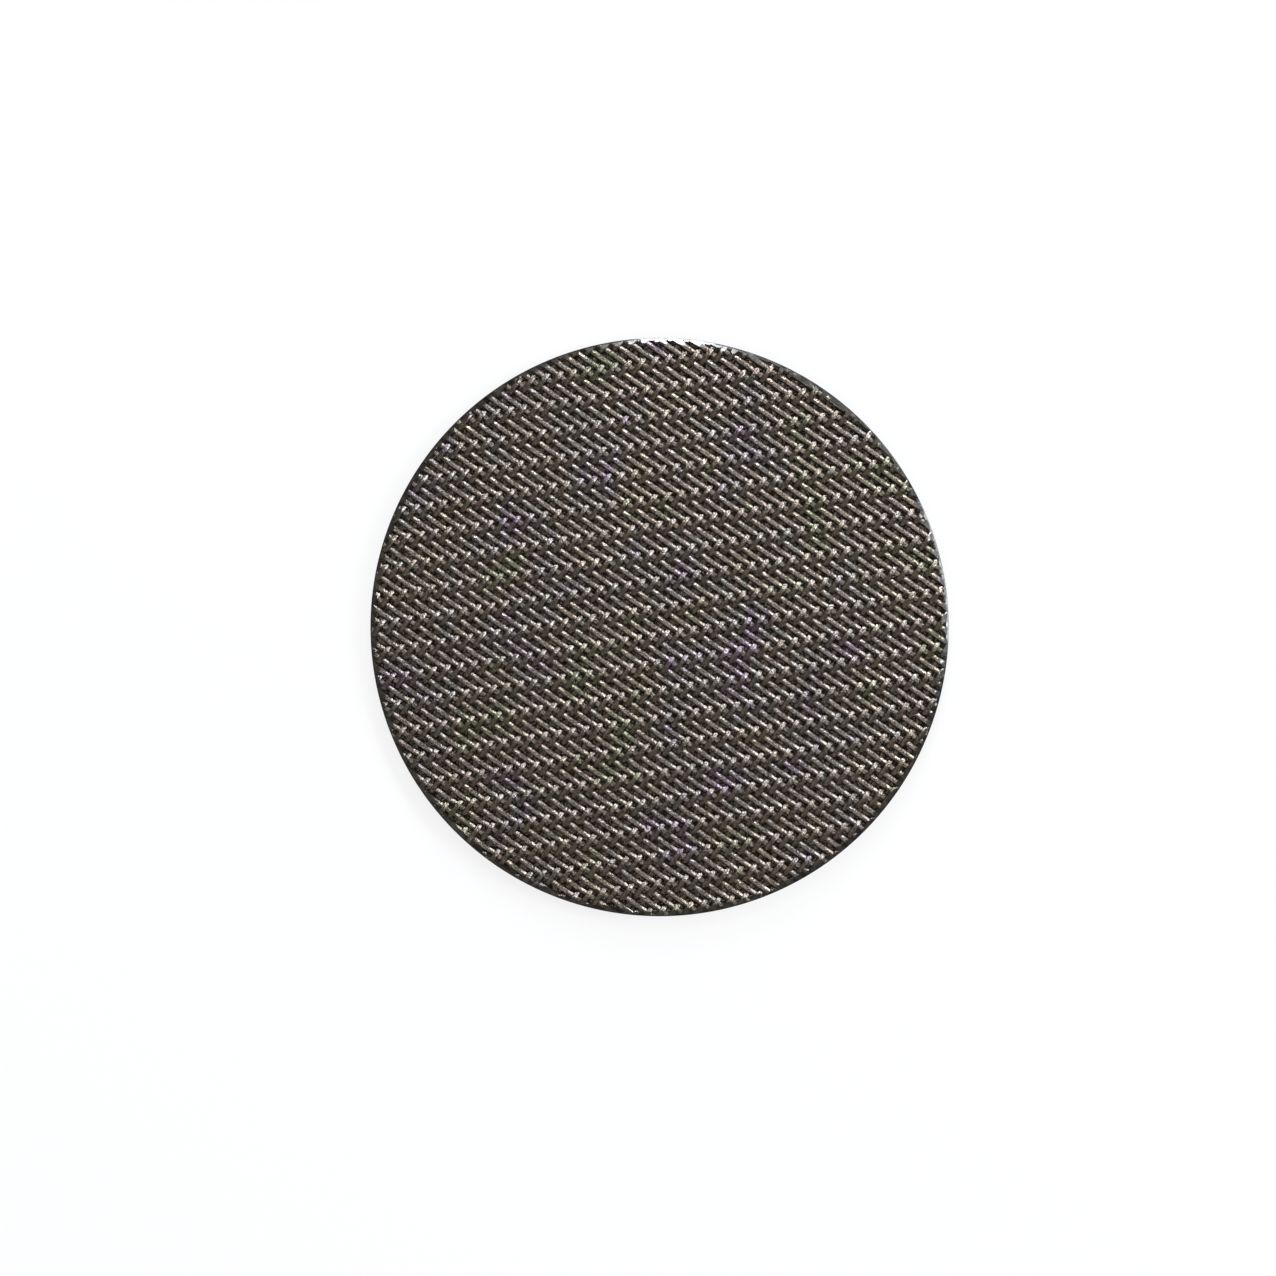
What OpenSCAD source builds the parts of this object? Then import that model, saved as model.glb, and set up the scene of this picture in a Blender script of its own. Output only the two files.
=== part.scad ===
/* [Disc] */
// Outside diameter of the disc
disc_d = 58.5; // [20:0.5:65]
// Thickness over the ground edge
disc_t = 1.7; // [1.4:0.1:4]

/* [Rim] */
// Width of the fused and ground edge, seen from above
rim_w = 0.45; // [0.3:0.05:1.2]
// Bevel on both corners of the edge
rim_bevel = 0.2; // [0.05:0.05:0.25]

/* [Weave] */
// Spacing of the warp wires
warp_pitch = 0.965; // [0.9:0.005:2.5]
// Spacing of the weft wires
weft_pitch = 0.998; // [0.9:0.005:2.5]
// Diameter of the wire
wire_d = 0.55; // [0.4:0.01:0.6]
// Heading of the warp wires, from the X axis
warp_heading = -34.6; // [-90:0.1:90]
// Angle between warp and weft
weave_angle = 89; // [80:0.1:100]
// Shift of the whole weave along X
weave_shift_x = -0.23; // [-2:0.01:2]
// Shift of the whole weave along Y
weave_shift_y = -0.15; // [-2:0.01:2]

/* [Bonding] */
// Depth of the wire crests below the ground flats of the rim
crest_drop = 0.02; // [0.01:0.01:0.05]
// How much lower the weft crests lie than the warp crests
weft_drop = 0.02; // [0.01:0.01:0.05]
// How far the wire axes are pressed into the bonded middle
axis_sink = 0.03; // [0.02:0.01:0.06]
// Gap between the end of a wire and the rim or the edge of its bed
end_gap = 0.03; // [0.02:0.01:0.05]

/* [Hidden] */
$fn = 48;

disc_r = disc_d / 2;
rim_r = disc_r - rim_w;
wire_r = wire_d / 2;
// Depth of the wire axes, and of the beds that the wires are bonded to
warp_axis = crest_drop + wire_r;
weft_axis = warp_axis + weft_drop;
warp_bed = warp_axis - axis_sink;
weft_bed = weft_axis - axis_sink;
// In this twill a wire runs over two crossing wires, then under two
repeat = 4;
float_span = 2;
// Shortest float that is kept where the rim cuts it off
min_float = wire_d;
// Count of wires that reaches past the edge
reach = ceil(disc_r / min(warp_pitch, weft_pitch)) + repeat;

weft_heading = warp_heading + weave_angle;
warp_dir = [cos(warp_heading), sin(warp_heading)];
weft_dir = [cos(weft_heading), sin(weft_heading)];
weave_shift = [weave_shift_x, weave_shift_y];
// Distance along a warp wire from one weft wire to the next, and the other way round
warp_step = weft_pitch / sin(weave_angle);
weft_step = warp_pitch / sin(weave_angle);
// The twill lines run along one step of both wires, and the beds lie between them
twill_run = warp_step * warp_dir + weft_step * weft_dir;
twill_heading = atan2(twill_run[1], twill_run[0]);
wale_step = warp_step * weft_step * sin(weave_angle) / norm(twill_run);
// Half a float, so that its corners stay inside its bed
warp_half = float_span / 2 * warp_step - wire_r / tan(twill_heading - warp_heading) - end_gap;
weft_half = float_span / 2 * weft_step - wire_r / tan(weft_heading - twill_heading) - end_gap;

// Where warp wire i crosses weft wire j, counted from the middle
function crossing(i, j) = weave_shift + j * warp_step * warp_dir + i * weft_step * weft_dir;

// Half the length that the rim leaves to a wire, at a distance from the centre
function half_chord(off) = sqrt(max(pow(rim_r - end_gap, 2) - pow(abs(off) + wire_r, 2), 0));

// Both ends of a float, along its wire from its middle
function float_ends(middle, dir, half) =
    let (foot = -middle * dir, room = half_chord(cross(middle, dir)))
    [max(-half, foot - room), min(half, foot + room)];

// The floats of one set that the rim leaves long enough, each with its ends
function fitting(middles, dir, half) = [
    for (middle = middles)
        let (ends = float_ends(middle, dir, half))
        if (ends[1] - ends[0] > min_float) [middle, ends]
];

// Floats of the top face, every wire one crossing further on than its neighbour
function warp_floats() = fitting(
    [for (i = [-reach : reach], k = [-reach : reach]) crossing(i, i - 0.5 + repeat * k)],
    warp_dir, warp_half);
function weft_floats() = fitting(
    [for (j = [-reach : reach], k = [-reach : reach]) crossing(j - 1.5 + repeat * k, j)],
    weft_dir, weft_half);

// Top of the section across the twill lines, warp beds and weft beds in turn
function bed_line() = [
    for (k = [-reach : reach], edge = [0, 1], level = [0, 1])
        [
            (k * repeat + 0.5 + float_span * edge) * wale_step,
            disc_t - (edge == level ? warp_bed : weft_bed)
        ]
];

// The bonded middle of the disc, stepped along the twill lines
module bonded_web() {
    line = bed_line();
    first = line[0];
    last = line[len(line) - 1];
    intersection() {
        translate(weave_shift)
            rotate([90, 0, twill_heading - 90])
                linear_extrude(2 * disc_d, center = true)
                    polygon(concat([[first[0], weft_bed]], line, [[last[0], weft_bed]]));
        cylinder(r = disc_r - rim_w / 2, h = disc_t);
    }
}

// The ground edge, one turned section
module ground_rim() {
    rotate_extrude()
        polygon([
            [rim_r, 0],
            [disc_r - rim_bevel, 0],
            [disc_r, rim_bevel],
            [disc_r, disc_t - rim_bevel],
            [disc_r - rim_bevel, disc_t],
            [rim_r, disc_t]
        ]);
}

// One straight piece of wire between two places along its heading
module wire(from, to) {
    translate([from, 0, 0])
        rotate([0, 90, 0])
            cylinder(r = wire_r, h = to - from);
}

// One set of floats of the top face, half sunk in their beds
module floats(set, heading) {
    for (float = set)
        translate(float[0])
            rotate(heading)
                wire(float[1][0], float[1][1]);
}

// The weft wires of the underside, from edge to edge
module under_wires() {
    shift = cross(weft_dir, weave_shift);
    rotate(weft_heading)
        for (k = [-reach : reach])
            let (off = k * weft_pitch + shift, half = half_chord(off))
                if (half > wire_r)
                    translate([0, off, 0])
                        wire(-half, half);
}

module mesh_disc() {
    color([0.37, 0.34, 0.31])
        union() {
            union() {
                bonded_web();
                ground_rim();
            }
            translate([0, 0, disc_t - warp_axis])
                floats(warp_floats(), warp_heading);
            translate([0, 0, disc_t - weft_axis])
                floats(weft_floats(), weft_heading);
            translate([0, 0, weft_axis])
                under_wires();
        }
}

mesh_disc();
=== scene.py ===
# %% [markdown]
# # Wire mesh filter disc
# A filter disc is cut from twill-woven steel wire cloth. The cloth is bonded into one stiff piece in a furnace and
# ground round its edge. The CAD solid gives the disc's place and size. This script rebuilds it wire by wire inside
# the same box, and gives it its steel finish.

import math

import bpy
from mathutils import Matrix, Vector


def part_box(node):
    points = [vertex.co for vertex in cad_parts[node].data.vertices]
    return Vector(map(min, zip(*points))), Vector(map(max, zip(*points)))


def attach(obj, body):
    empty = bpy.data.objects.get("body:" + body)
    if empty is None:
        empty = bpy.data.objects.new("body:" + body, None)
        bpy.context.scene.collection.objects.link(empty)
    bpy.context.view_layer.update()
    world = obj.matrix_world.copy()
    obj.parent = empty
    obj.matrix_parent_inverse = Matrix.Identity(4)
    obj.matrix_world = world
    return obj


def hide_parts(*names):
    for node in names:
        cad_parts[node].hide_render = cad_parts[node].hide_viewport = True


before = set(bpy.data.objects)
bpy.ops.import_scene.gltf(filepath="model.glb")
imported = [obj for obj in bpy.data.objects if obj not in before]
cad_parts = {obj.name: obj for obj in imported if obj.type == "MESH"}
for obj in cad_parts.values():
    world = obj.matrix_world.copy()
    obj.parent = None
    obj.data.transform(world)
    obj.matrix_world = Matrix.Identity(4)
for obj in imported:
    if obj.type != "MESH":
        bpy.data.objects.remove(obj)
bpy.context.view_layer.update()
MM = 0.001
disc_low, disc_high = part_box("mesh_disc")
DISC_R = min(-disc_low[0], disc_high[0], -disc_low[1], disc_high[1])
DISC_T = disc_high[2] - disc_low[2]
print(f"disc radius {DISC_R / MM:.2f} mm, thickness {DISC_T / MM:.2f} mm")

# %% [markdown]
# ## The lattice of the weave
# Warp wires run from the upper left to the lower right of the photo, and weft wires cross them almost square.
# In this twill each wire runs over two wires and under two, and its neighbour does the same one crossing further
# on, so the pattern repeats every four crossings. A few named lengths then place every wire of the disc.

# %% Spacing, heading and height of the wires
WIRE_R = 0.30 * MM
WARP_PITCH = 0.965 * MM
WEFT_PITCH = 0.998 * MM
WARP_HEADING = math.radians(-34.6)
WEAVE_ANGLE = math.radians(89.0)
WEFT_HEADING = WARP_HEADING + WEAVE_ANGLE
WEAVE_SHIFT = (-0.23 * MM, -0.15 * MM)
TWILL_REPEAT = 4
WARP_CRIMP = 0.17 * MM
WEFT_CRIMP = 0.31 * MM
WARP_STEP = WEFT_PITCH / math.sin(WEAVE_ANGLE)
WEFT_STEP = WARP_PITCH / math.sin(WEAVE_ANGLE)
CREST_DROP = 0.01 * MM
CREST_Z = DISC_T - CREST_DROP - WIRE_R
print(f"a warp wire repeats every {TWILL_REPEAT * WARP_STEP / MM:.2f} mm")

# %% [markdown]
# ## One repeat of a crimped wire
# A woven wire isn't straight: it arches over two crossing wires and dips under the next two. One such wave could
# be a curve with a bevel, but a tube extruded ring by ring keeps the face count in hand, which matters because
# the wave is copied hundreds of times. The ring is a circle with a few sides. It is extruded along X, and every
# new ring is set to the height and the slope of the wave.

# %% Helpers for the wave and for selecting
RING_SIDES = 8
RINGS_PER_REPEAT = 12
CREST_FLATNESS = 0.45


def wave_height(turn, crimp):
    """Height of the wire along one repeat, from 0 to 1, with the crest at 0."""
    swing = math.cos(2 * math.pi * turn)
    return CREST_Z - crimp + crimp * swing * (1 + CREST_FLATNESS * (1 - swing * swing))


def wave_slope(turn, crimp, length):
    """Angle of the wire against the cloth at a place along the repeat."""
    nudge = 0.001
    rise = wave_height(turn + nudge, crimp) - wave_height(turn - nudge, crimp)
    return math.atan2(rise, 2 * nudge * length)


def deselect_all():
    """Object mode with nothing selected."""
    if bpy.context.mode != "OBJECT":
        bpy.ops.object.mode_set(mode="OBJECT")
    bpy.ops.object.select_all(action="DESELECT")


def pick(*objects):
    """Select these objects only, with the first one active."""
    deselect_all()
    for obj in objects:
        obj.select_set(True)
    bpy.context.view_layer.objects.active = objects[0]


# %% Extrude one repeat ring by ring
def wire_repeat(name, step, crimp):
    """A tube of one repeat along X, open at both ends, with its crest at the start."""
    length = TWILL_REPEAT * step
    deselect_all()
    bpy.ops.mesh.primitive_circle_add(
        vertices=RING_SIDES,
        radius=WIRE_R,
        location=(0, 0, wave_height(0, crimp)),
        rotation=(0, math.pi / 2, 0),
    )
    wire = bpy.context.object
    wire.name = name
    bpy.ops.object.transform_apply(location=True, rotation=True, scale=True)
    bpy.ops.object.mode_set(mode="EDIT")
    bpy.ops.mesh.select_all(action="SELECT")
    for ring in range(1, RINGS_PER_REPEAT + 1):
        before, here = (ring - 1) / RINGS_PER_REPEAT, ring / RINGS_PER_REPEAT
        rise = wave_height(here, crimp) - wave_height(before, crimp)
        bpy.ops.mesh.extrude_region_move(
            TRANSFORM_OT_translate={"value": (length / RINGS_PER_REPEAT, 0, rise)}
        )
        bpy.ops.transform.rotate(
            value=wave_slope(here, crimp, length) - wave_slope(before, crimp, length),
            orient_axis="Y",
            center_override=(here * length, 0, wave_height(here, crimp)),
        )
    bpy.ops.object.mode_set(mode="OBJECT")
    print(f"{name}: {len(wire.data.polygons)} faces in a repeat of {length / MM:.2f} mm")
    return wire


# %% [markdown]
# ## A cloth of parallel wires
# Neighbouring wires carry the same wave, one crossing further on. Four of them side by side make a tile that
# repeats without a shift, so two Array modifiers lay out a whole square of cloth: one runs along the wires and
# welds the rings, the other sets the tiles side by side. The ends are then capped, which makes each wire a closed
# body that a Boolean can cut.

# %% Lay out one set of wires
PATCH_REPEATS = 16
WELD_DISTANCE = 0.01 * MM


def add_array(obj, count, offset, weld):
    """Repeat an object along an offset, and weld the copies if they meet."""
    modifier = obj.modifiers.new("array", "ARRAY")
    modifier.count = count
    modifier.use_relative_offset = False
    modifier.use_constant_offset = True
    modifier.constant_offset_displace = offset
    modifier.use_merge_vertices = weld
    modifier.merge_threshold = WELD_DISTANCE
    bpy.ops.object.modifier_apply(modifier=modifier.name)


def wire_cloth(name, step, crimp, across, heading, start):
    """A square patch of wires. across is the way to the next wire, start the crest nearest the middle."""
    wires = []
    length = TWILL_REPEAT * step
    for place in range(TWILL_REPEAT):
        wire = wire_repeat(f"{name}_{place}", step, crimp)
        pick(wire)
        add_array(wire, PATCH_REPEATS, (length, 0, 0), True)
        bpy.ops.object.mode_set(mode="EDIT")
        bpy.ops.mesh.select_all(action="DESELECT")
        bpy.ops.mesh.select_non_manifold()
        bpy.ops.mesh.edge_face_add()
        bpy.ops.object.mode_set(mode="OBJECT")
        wire.location = (place * (across[0] + step), place * across[1], 0)
        wires.append(wire)
    pick(*wires)
    bpy.ops.object.join()
    cloth = bpy.context.object
    cloth.name = name
    bpy.ops.object.transform_apply(location=True, rotation=True, scale=True)
    add_array(cloth, PATCH_REPEATS, (TWILL_REPEAT * across[0], TWILL_REPEAT * across[1], 0), False)
    half = PATCH_REPEATS // 2
    back = (-half * length - half * TWILL_REPEAT * across[0], -half * TWILL_REPEAT * across[1])
    turn = (math.cos(heading), math.sin(heading))
    cloth.rotation_euler = (0, 0, heading)
    cloth.location = (
        start[0] + back[0] * turn[0] - back[1] * turn[1],
        start[1] + back[0] * turn[1] + back[1] * turn[0],
        0,
    )
    bpy.ops.object.transform_apply(location=True, rotation=True, scale=True)
    bpy.ops.object.mode_set(mode="EDIT")
    bpy.ops.mesh.select_all(action="SELECT")
    bpy.ops.mesh.normals_make_consistent(inside=False)
    bpy.ops.object.mode_set(mode="OBJECT")
    print(f"{name}: patch of {len(cloth.data.polygons)} faces")
    return cloth


# %% Warp wires of the top cloth
def crossing(warp, weft):
    """Where a warp wire and a weft wire cross, by their numbers counted from the middle."""
    along = (math.cos(WARP_HEADING) * WARP_STEP, math.sin(WARP_HEADING) * WARP_STEP)
    across = (math.cos(WEFT_HEADING) * WEFT_STEP, math.sin(WEFT_HEADING) * WEFT_STEP)
    return tuple(WEAVE_SHIFT[k] + weft * along[k] + warp * across[k] for k in (0, 1))


to_next_warp = (WEFT_STEP * math.cos(WEAVE_ANGLE), WEFT_STEP * math.sin(WEAVE_ANGLE))
warp_start = crossing(0, -0.5)
top_warp = wire_cloth("top_warp_wires", WARP_STEP, WARP_CRIMP, to_next_warp, WARP_HEADING, warp_start)

# %% Weft wires of the top cloth
to_next_weft = (WARP_STEP * math.cos(WEAVE_ANGLE), -WARP_STEP * math.sin(WEAVE_ANGLE))
weft_start = crossing(-1.5, 0)
top_weft = wire_cloth("top_weft_wires", WEFT_STEP, WEFT_CRIMP, to_next_weft, WEFT_HEADING, weft_start)

# %% [markdown]
# ## Cutting the cloth round
# The real disc is punched from bonded cloth and its corners are ground off, so the wires end in small bright cuts
# that follow the edge, with dark notches between them. A closed cylinder with a cone on top has that outline. A
# Boolean keeps what lies inside it, and leaves the flat cut ends on the wires.

# %% Shape the cutter
EDGE_FACETS = 240
CUT_INSET = 0.14 * MM
CUT_R = DISC_R - CUT_INSET
GRIND_W = 0.60 * MM
GRIND_H = 0.38 * MM
CAP_NORMAL = 0.9


def select_faces(obj, wanted):
    """Edit mode with only the wanted faces selected."""
    bpy.ops.object.mode_set(mode="EDIT")
    bpy.ops.mesh.select_mode(type="FACE")
    bpy.ops.mesh.select_all(action="DESELECT")
    bpy.ops.object.mode_set(mode="OBJECT")
    for face in obj.data.polygons:
        face.select = wanted(face)
    bpy.ops.object.mode_set(mode="EDIT")


deselect_all()
bpy.ops.mesh.primitive_cylinder_add(
    vertices=EDGE_FACETS, radius=CUT_R, depth=2 * DISC_T, location=(0, 0, -GRIND_H)
)
punch = bpy.context.object
punch.name = "punch"
bpy.ops.object.transform_apply(location=True, rotation=True, scale=True)
select_faces(punch, lambda face: face.normal.z > CAP_NORMAL)
bpy.ops.mesh.inset(thickness=GRIND_W, depth=GRIND_H)
bpy.ops.object.mode_set(mode="OBJECT")

# %% Punch both sets of wires
WIRE_SMOOTH_ANGLE = math.radians(32)

for cloth in (top_warp, top_weft):
    pick(cloth)
    cut = cloth.modifiers.new("punch", "BOOLEAN")
    cut.operation = "INTERSECT"
    cut.solver = "MANIFOLD"
    cut.object = punch
    bpy.ops.object.modifier_apply(modifier=cut.name)
    bpy.ops.object.shade_smooth_by_angle(angle=WIRE_SMOOTH_ANGLE)
    print(f"{cloth.name}: {len(cloth.data.polygons)} faces after the cut")
bpy.data.objects.remove(punch)

# %% [markdown]
# ## The cloth on the underside
# The same cloth lies on the other face, so both sets of wires are copied, each with a mesh of its own, and
# turned over about the middle of the thickness. Turning them over turns their faces inside out, so the normals
# are set right again.

# %% Copy the cloth to the underside
def turned_copy(cloth, name):
    """A copy of a cloth, mirrored to the underside."""
    pick(cloth)
    bpy.ops.object.duplicate(linked=False)
    copy = bpy.context.object
    copy.name = name
    bpy.ops.object.mode_set(mode="EDIT")
    bpy.ops.mesh.select_all(action="SELECT")
    bpy.ops.transform.resize(value=(1, 1, -1), center_override=(0, 0, DISC_T / 2))
    bpy.ops.mesh.normals_make_consistent(inside=False)
    bpy.ops.object.mode_set(mode="OBJECT")
    return copy


bottom_warp = turned_copy(top_warp, "bottom_warp_wires")
bottom_weft = turned_copy(top_weft, "bottom_weft_wires")

# %% [markdown]
# ## The bonded middle
# The photo lets no light through the disc: between the wires it shows dark metal with grey specks, where all the
# wires are bonded together. This is the CAD solid's bonded middle, so here it is a plate between both cloths, and
# its specks come from its material. Its near-black colour is partly painted shade of the deep gaps between the
# wires, and its lighter specks are partly painted glints.

# %% Model the bonded middle
MIDDLE_T = 0.56 * MM
MIDDLE_INSET = 0.25 * MM
MIDDLE_R = DISC_R - MIDDLE_INSET
MIDDLE_BORDER = 0.3 * MM

deselect_all()
bpy.ops.mesh.primitive_cylinder_add(
    vertices=EDGE_FACETS, radius=MIDDLE_R, depth=MIDDLE_T, location=(0, 0, DISC_T / 2)
)
middle = bpy.context.object
middle.name = "bonded_middle"
bpy.ops.object.transform_apply(location=True, rotation=True, scale=True)
select_faces(middle, lambda face: abs(face.normal.z) > CAP_NORMAL)
bpy.ops.mesh.inset(thickness=MIDDLE_BORDER, use_individual=True)
bpy.ops.object.mode_set(mode="OBJECT")
print(f"{middle.name}: {len(middle.data.polygons)} faces")

# %% [markdown]
# ## The ground edge
# Grinding also smears the steel into a smooth narrow band round the disc, just below the cut wires. It starts as
# a cylinder of the disc's size. A first inset of its two caps also lifts them, which gives the sloped outer part. A
# second one gives the flat part. The caps are then taken out, the inner wall is bridged, and the outer corners are
# bevelled. A small smoothing angle keeps the slope crisp.

# %% Model the edge band
EDGE_W = 0.60 * MM
EDGE_DROP = 0.41 * MM
SLOPE_W = 0.27 * MM
SLOPE_H = 0.15 * MM
EDGE_ROUND = 0.04 * MM
ROUND_STEPS = 2
QUAD_CORNERS = 4
CORNER_TOLERANCE = 0.01 * MM
LEVEL_TOLERANCE = 0.1 * MM
BAND_SMOOTH_ANGLE = math.radians(14)

deselect_all()
bpy.ops.mesh.primitive_cylinder_add(
    vertices=EDGE_FACETS,
    radius=DISC_R,
    depth=DISC_T - 2 * (EDGE_DROP + SLOPE_H),
    location=(0, 0, DISC_T / 2),
)
edge = bpy.context.object
edge.name = "ground_edge"
bpy.ops.object.transform_apply(location=True, rotation=True, scale=True)
select_faces(edge, lambda face: abs(face.normal.z) > CAP_NORMAL)
bpy.ops.mesh.inset(thickness=SLOPE_W, depth=SLOPE_H, use_individual=True)
bpy.ops.mesh.inset(thickness=EDGE_W - SLOPE_W, use_individual=True)
select_faces(edge, lambda face: len(face.vertices) > QUAD_CORNERS)
bpy.ops.mesh.delete(type="FACE")
bpy.ops.mesh.select_all(action="DESELECT")
bpy.ops.mesh.select_mode(type="EDGE")
bpy.ops.mesh.select_non_manifold()
bpy.ops.mesh.bridge_edge_loops()
bpy.ops.object.mode_set(mode="OBJECT")
corner_r = DISC_R - CORNER_TOLERANCE
for line in edge.data.edges:
    first, last = (edge.data.vertices[k].co for k in line.vertices)
    outside = min(first.xy.length, last.xy.length) > corner_r
    line.select = outside and abs(first.z - last.z) < LEVEL_TOLERANCE
bpy.ops.object.mode_set(mode="EDIT")
bpy.ops.mesh.bevel(offset=EDGE_ROUND, segments=ROUND_STEPS, profile=0.5, affect="EDGES")
bpy.ops.mesh.select_all(action="SELECT")
bpy.ops.mesh.normals_make_consistent(inside=False)
bpy.ops.object.mode_set(mode="OBJECT")
bpy.ops.object.shade_smooth_by_angle(angle=BAND_SMOOTH_ANGLE)
print(f"{edge.name}: {len(edge.data.polygons)} faces")

# %% [markdown]
# ## Finishes
# The wire is bare stainless steel that came dark and warm out of the furnace, with faint purple, green and straw
# patches of heat tint. The edge is the same steel, ground. All patterns read Object coordinates, so they stay put
# from every side.

# %% Helpers for node materials
def new_material(name):
    """A metal, with its nodes, its links, its shader and its Object coordinates."""
    material = bpy.data.materials.new(name)
    material.use_nodes = True
    nodes = material.node_tree.nodes
    links = material.node_tree.links
    shader = nodes["Principled BSDF"]
    shader.inputs["Metallic"].default_value = 1.0
    place = nodes.new("ShaderNodeTexCoord")
    return material, nodes, links, shader, place.outputs["Object"]


def noise(nodes, links, vector, scale, detail, roughness):
    """A noise pattern, from 0 to 1."""
    node = nodes.new("ShaderNodeTexNoise")
    node.inputs["Scale"].default_value = scale
    node.inputs["Detail"].default_value = detail
    node.inputs["Roughness"].default_value = roughness
    links.new(vector, node.inputs["Vector"])
    return node.outputs["Fac"]


def ramp(nodes, links, factor, stops):
    """Colours along a pattern, from pairs of a place and a colour."""
    node = nodes.new("ShaderNodeValToRGB")
    bar = node.color_ramp
    while len(bar.elements) < len(stops):
        bar.elements.new(0.5)
    for element, (place, colour) in zip(bar.elements, stops):
        element.position = place
        element.color = (*colour, 1)
    links.new(factor, node.inputs["Fac"])
    return node.outputs["Color"]


def multiply(nodes, links, first, second):
    """The product of two colours."""
    node = nodes.new("ShaderNodeMix")
    node.data_type = "RGBA"
    node.blend_type = "MULTIPLY"
    node.inputs["Factor"].default_value = 1.0
    links.new(first, node.inputs["A"])
    links.new(second, node.inputs["B"])
    return node.outputs["Result"]


def bump(nodes, links, height, strength, distance):
    """Normals of a pattern that is read as a height."""
    node = nodes.new("ShaderNodeBump")
    node.inputs["Strength"].default_value = strength
    node.inputs["Distance"].default_value = distance
    links.new(height, node.inputs["Height"])
    return node.outputs["Normal"]


def spread(nodes, links, factor, low, high):
    """A pattern stretched between two values."""
    node = nodes.new("ShaderNodeMapRange")
    node.inputs["To Min"].default_value = low
    node.inputs["To Max"].default_value = high
    links.new(factor, node.inputs["Value"])
    return node.outputs["Result"]


# %% Furnace-tinted steel wire
def wire_steel():
    """Steel wire with patches of heat tint, fine specks and a fine grain."""
    material, nodes, links, shader, place = new_material("furnace_tinted_wire")
    patches = noise(nodes, links, place, scale=170, detail=5, roughness=0.65)
    tint = ramp(nodes, links, patches, [
        (0.34, (0.135, 0.140, 0.092)),
        (0.44, (0.180, 0.152, 0.118)),
        (0.50, (0.172, 0.140, 0.118)),
        (0.56, (0.158, 0.145, 0.122)),
        (0.67, (0.160, 0.126, 0.146)),
    ])
    speck_pattern = noise(nodes, links, place, scale=6500, detail=2, roughness=0.6)
    specks = ramp(nodes, links, speck_pattern, [
        (0.36, (0.38, 0.38, 0.38)),
        (0.66, (1.75, 1.75, 1.75)),
    ])
    links.new(multiply(nodes, links, tint, specks), shader.inputs["Base Color"])
    grain = noise(nodes, links, place, scale=4200, detail=2, roughness=0.5)
    links.new(spread(nodes, links, grain, low=0.14, high=0.42), shader.inputs["Roughness"])
    links.new(bump(nodes, links, grain, strength=1.0, distance=0.05 * MM), shader.inputs["Normal"])
    return material


# %% Dark specked steel of the middle
def middle_steel_painted_shade_and_glints():
    """Near-black steel with lighter specks and dents. The near-black is partly painted shade of the gaps between
    the wires, and the specks are partly painted glints.
    """
    material, nodes, links, shader, place = new_material("bonded_middle_steel")
    speck_pattern = noise(nodes, links, place, scale=6000, detail=2, roughness=0.6)
    # Painted shade and glints: the near-black stops stand partly for shade deep between the wires, and the light
    # stop stands partly for glints.
    specks = ramp(nodes, links, speck_pattern, [
        (0.46, (0.016, 0.011, 0.007)),
        (0.55, (0.062, 0.051, 0.040)),
        (0.66, (0.360, 0.315, 0.275)),
    ])
    links.new(specks, shader.inputs["Base Color"])
    shader.inputs["Roughness"].default_value = 0.45
    dents = noise(nodes, links, place, scale=4800, detail=2, roughness=0.6)
    links.new(bump(nodes, links, dents, strength=1.0, distance=0.12 * MM), shader.inputs["Normal"])
    return material


# %% Ground steel
def ground_steel(name, dark, light, gloss):
    """Ground steel between two colours. gloss holds its lowest and highest roughness."""
    material, nodes, links, shader, place = new_material(name)
    smear = noise(nodes, links, place, scale=900, detail=4, roughness=0.6)
    links.new(ramp(nodes, links, smear, [(0.35, dark), (0.65, light)]), shader.inputs["Base Color"])
    scratches = noise(nodes, links, place, scale=5000, detail=2, roughness=0.6)
    links.new(spread(nodes, links, scratches, *gloss), shader.inputs["Roughness"])
    links.new(bump(nodes, links, scratches, strength=0.12, distance=0.02 * MM), shader.inputs["Normal"])
    return material


# %% Put the finishes on
CUT_TOLERANCE = 0.006 * MM
CUT_TILT = 0.3


def on_the_cut(face):
    """Whether a face of a wire lies on the ground cone or on the punched wall."""
    low_side = min(face.center.z, DISC_T - face.center.z)
    cone_r = CUT_R - (1 - low_side / GRIND_H) * GRIND_W if low_side < GRIND_H else CUT_R
    return abs(face.center.xy.length - cone_r) < CUT_TOLERANCE and face.normal.xy.length > CUT_TILT


wire_finish = wire_steel()
cut_finish = ground_steel(
    "cut_wire_steel", dark=(0.07, 0.068, 0.064), light=(0.15, 0.145, 0.135), gloss=(0.16, 0.34)
)
band_finish = ground_steel(
    "edge_band_steel", dark=(0.04, 0.038, 0.034), light=(0.10, 0.096, 0.088), gloss=(0.05, 0.17)
)
for piece in (top_warp, top_weft, bottom_warp, bottom_weft):
    piece.data.materials.clear()
    piece.data.materials.append(wire_finish)
    piece.data.materials.append(cut_finish)
    cuts = 0
    for face in piece.data.polygons:
        face.material_index = 1 if on_the_cut(face) else 0
        cuts += face.material_index
    print(f"{piece.name}: {cuts} ground faces")
middle.data.materials.append(middle_steel_painted_shade_and_glints())
edge.data.materials.append(band_finish)

# %% [markdown]
# ## Joining the pieces to the frame
# Nothing on the disc moves, so every piece rides on the one body. Together they stand for the CAD solid.

# %% Ride and the replaced node
for piece in (top_warp, top_weft, bottom_warp, bottom_weft, middle, edge):
    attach(piece, "root")
    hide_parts("mesh_disc")

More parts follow.
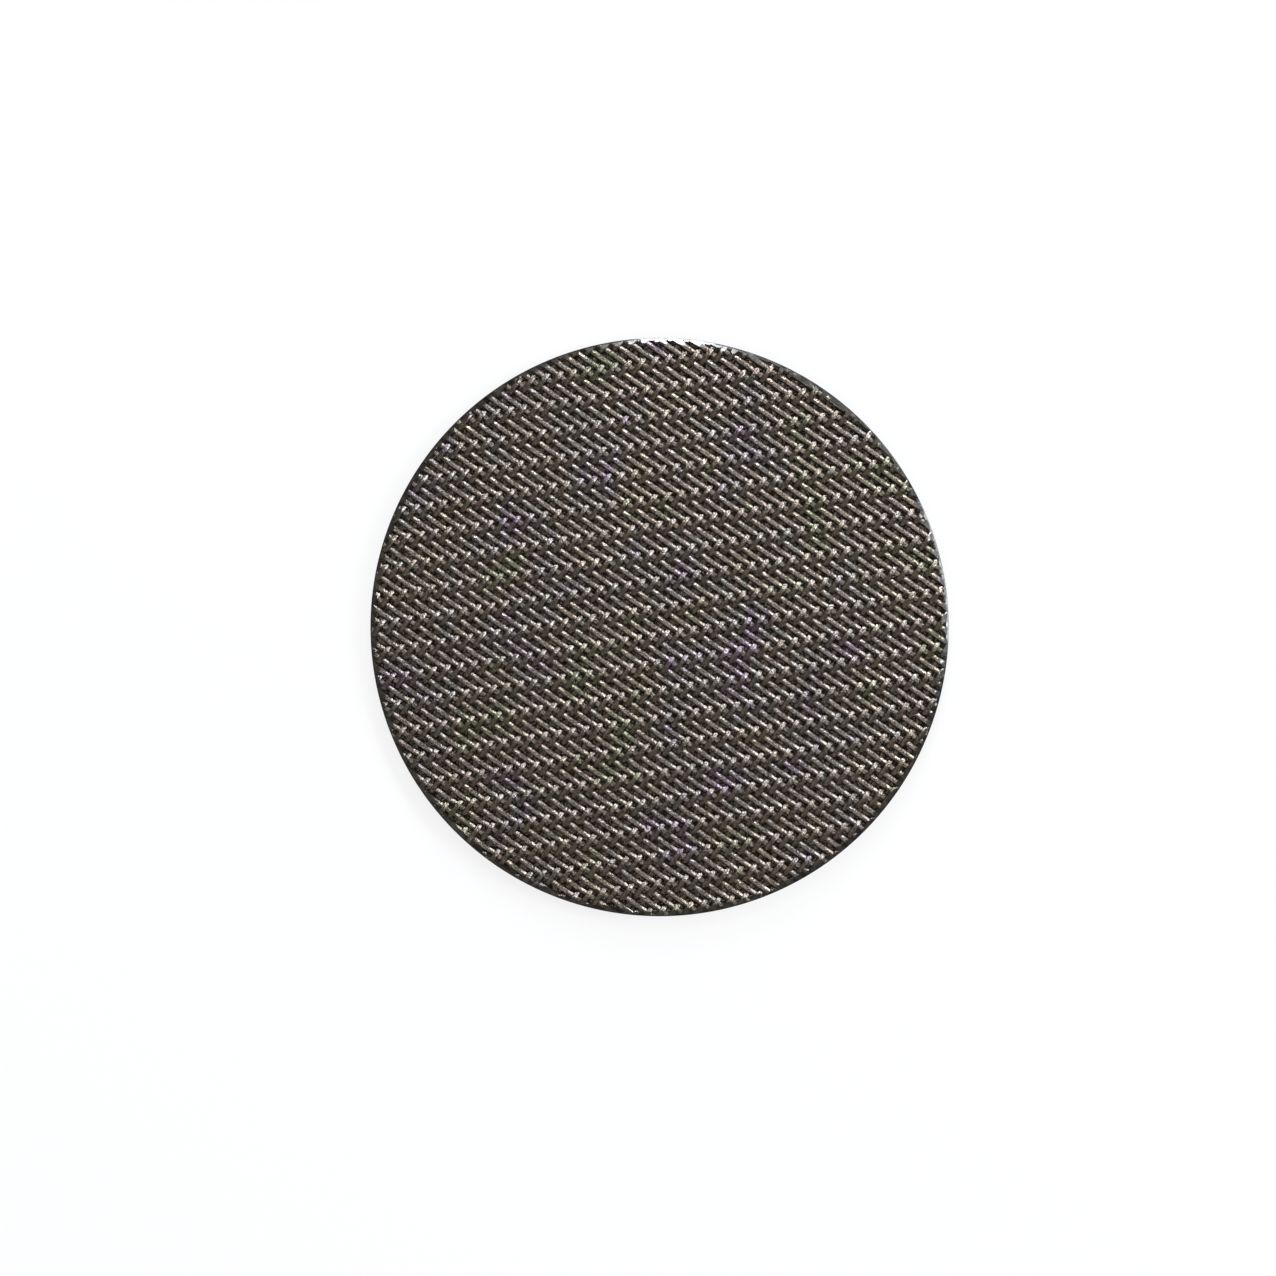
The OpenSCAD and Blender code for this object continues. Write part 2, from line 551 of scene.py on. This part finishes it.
# %% [markdown]
# ## Table, light and camera
# The photo looks straight down on a white table, and its light comes from the upper right. A narrow key lamp there
# draws a thin line along the upper right flank of each warp wire. Two lamps on either side of it light the places
# where the weft wires dip, which gives the rows of bright spots. A small lamp whitens the cut wires at the top of
# the rim, a weak one fills in from the other side, and a plain grey surround keeps the rest of the metal dark. In
# the photo the shaded metal is warmer than the highlights, so the surround is a warm grey and the lamps are cool.

# %% A white table
TABLE_SIZE = 6
TABLE_COLOUR = (0.9, 0.9, 0.9, 1)
GLOW_SHARE = 0.8

deselect_all()
bpy.ops.mesh.primitive_plane_add(size=TABLE_SIZE, location=(0, 0, 0))
table = bpy.context.object
table.name = "table"
paper = bpy.data.materials.new("white_table")
paper.use_nodes = True
nodes, links = paper.node_tree.nodes, paper.node_tree.links
nodes.clear()
path = nodes.new("ShaderNodeLightPath")
seen = nodes.new("ShaderNodeMath")
seen.operation = "MAXIMUM"
links.new(path.outputs["Is Camera Ray"], seen.inputs[0])
links.new(path.outputs["Is Glossy Ray"], seen.inputs[1])
matte = nodes.new("ShaderNodeBsdfDiffuse")
matte.inputs["Color"].default_value = TABLE_COLOUR
glow = nodes.new("ShaderNodeEmission")
share = nodes.new("ShaderNodeMath")
share.operation = "MULTIPLY"
share.inputs[1].default_value = GLOW_SHARE
links.new(seen.outputs[0], share.inputs[0])
mix = nodes.new("ShaderNodeMixShader")
links.new(share.outputs[0], mix.inputs[0])
links.new(matte.outputs[0], mix.inputs[1])
links.new(glow.outputs[0], mix.inputs[2])
out = nodes.new("ShaderNodeOutputMaterial")
links.new(mix.outputs[0], out.inputs["Surface"])
table.data.materials.append(paper)

# %% Grey surround and lamps
SURROUND_COLOUR = (0.36, 0.337, 0.31, 1)
LAMP_COLOUR = (0.94, 1.0, 1.12)
LAMP_DISTANCE = 1.0

world = bpy.data.worlds.new("studio")
bpy.context.scene.world = world
world.use_nodes = True
surround = world.node_tree.nodes["Background"]
surround.inputs["Color"].default_value = SURROUND_COLOUR
surround.inputs["Strength"].default_value = 1.0


def strip_lamp(name, heading, height, wide, tall, power):
    """A lamp that faces the disc. heading and height are angles in degrees, wide and tall are in metres."""
    heading, height = math.radians(heading), math.radians(height)
    flat = LAMP_DISTANCE * math.cos(height)
    spot = (flat * math.cos(heading), flat * math.sin(heading), LAMP_DISTANCE * math.sin(height))
    deselect_all()
    bpy.ops.object.light_add(type="AREA", location=spot)
    lamp = bpy.context.object
    lamp.name = name
    lamp.data.shape = "RECTANGLE"
    lamp.data.size = wide
    lamp.data.size_y = tall
    lamp.data.energy = power
    lamp.data.color = LAMP_COLOUR
    lamp.rotation_euler = (math.pi / 2 - height, 0, heading + math.pi / 2)


strip_lamp("key_lamp", heading=54, height=31, wide=0.7, tall=0.14, power=2.0)
strip_lamp("right_lamp", heading=11, height=33, wide=0.45, tall=0.28, power=5.0)
strip_lamp("left_lamp", heading=102, height=42, wide=0.4, tall=0.24, power=2.0)
strip_lamp("top_lamp", heading=86, height=20, wide=0.24, tall=0.2, power=5.0)
strip_lamp("fill_lamp", heading=234, height=58, wide=0.9, tall=0.7, power=2.1)
bpy.context.scene.view_settings.view_transform = "Standard"

# %% The camera, straight above
FRAME_W = 128.77 * MM
CAMERA_LENS = 85.0
SENSOR_W = 36.0
CAMERA_X, CAMERA_Y = -2.18 * MM, -1.10 * MM
NEAR_CLIP = 10 * MM

deselect_all()
camera_z = FRAME_W * CAMERA_LENS / SENSOR_W + DISC_T
bpy.ops.object.camera_add(location=(CAMERA_X, CAMERA_Y, camera_z), rotation=(0, 0, 0))
camera = bpy.context.object
camera.data.lens = CAMERA_LENS
camera.data.sensor_width = SENSOR_W
camera.data.clip_start = NEAR_CLIP
bpy.context.scene.camera = camera
print(f"camera {camera_z / MM:.0f} mm above the table")
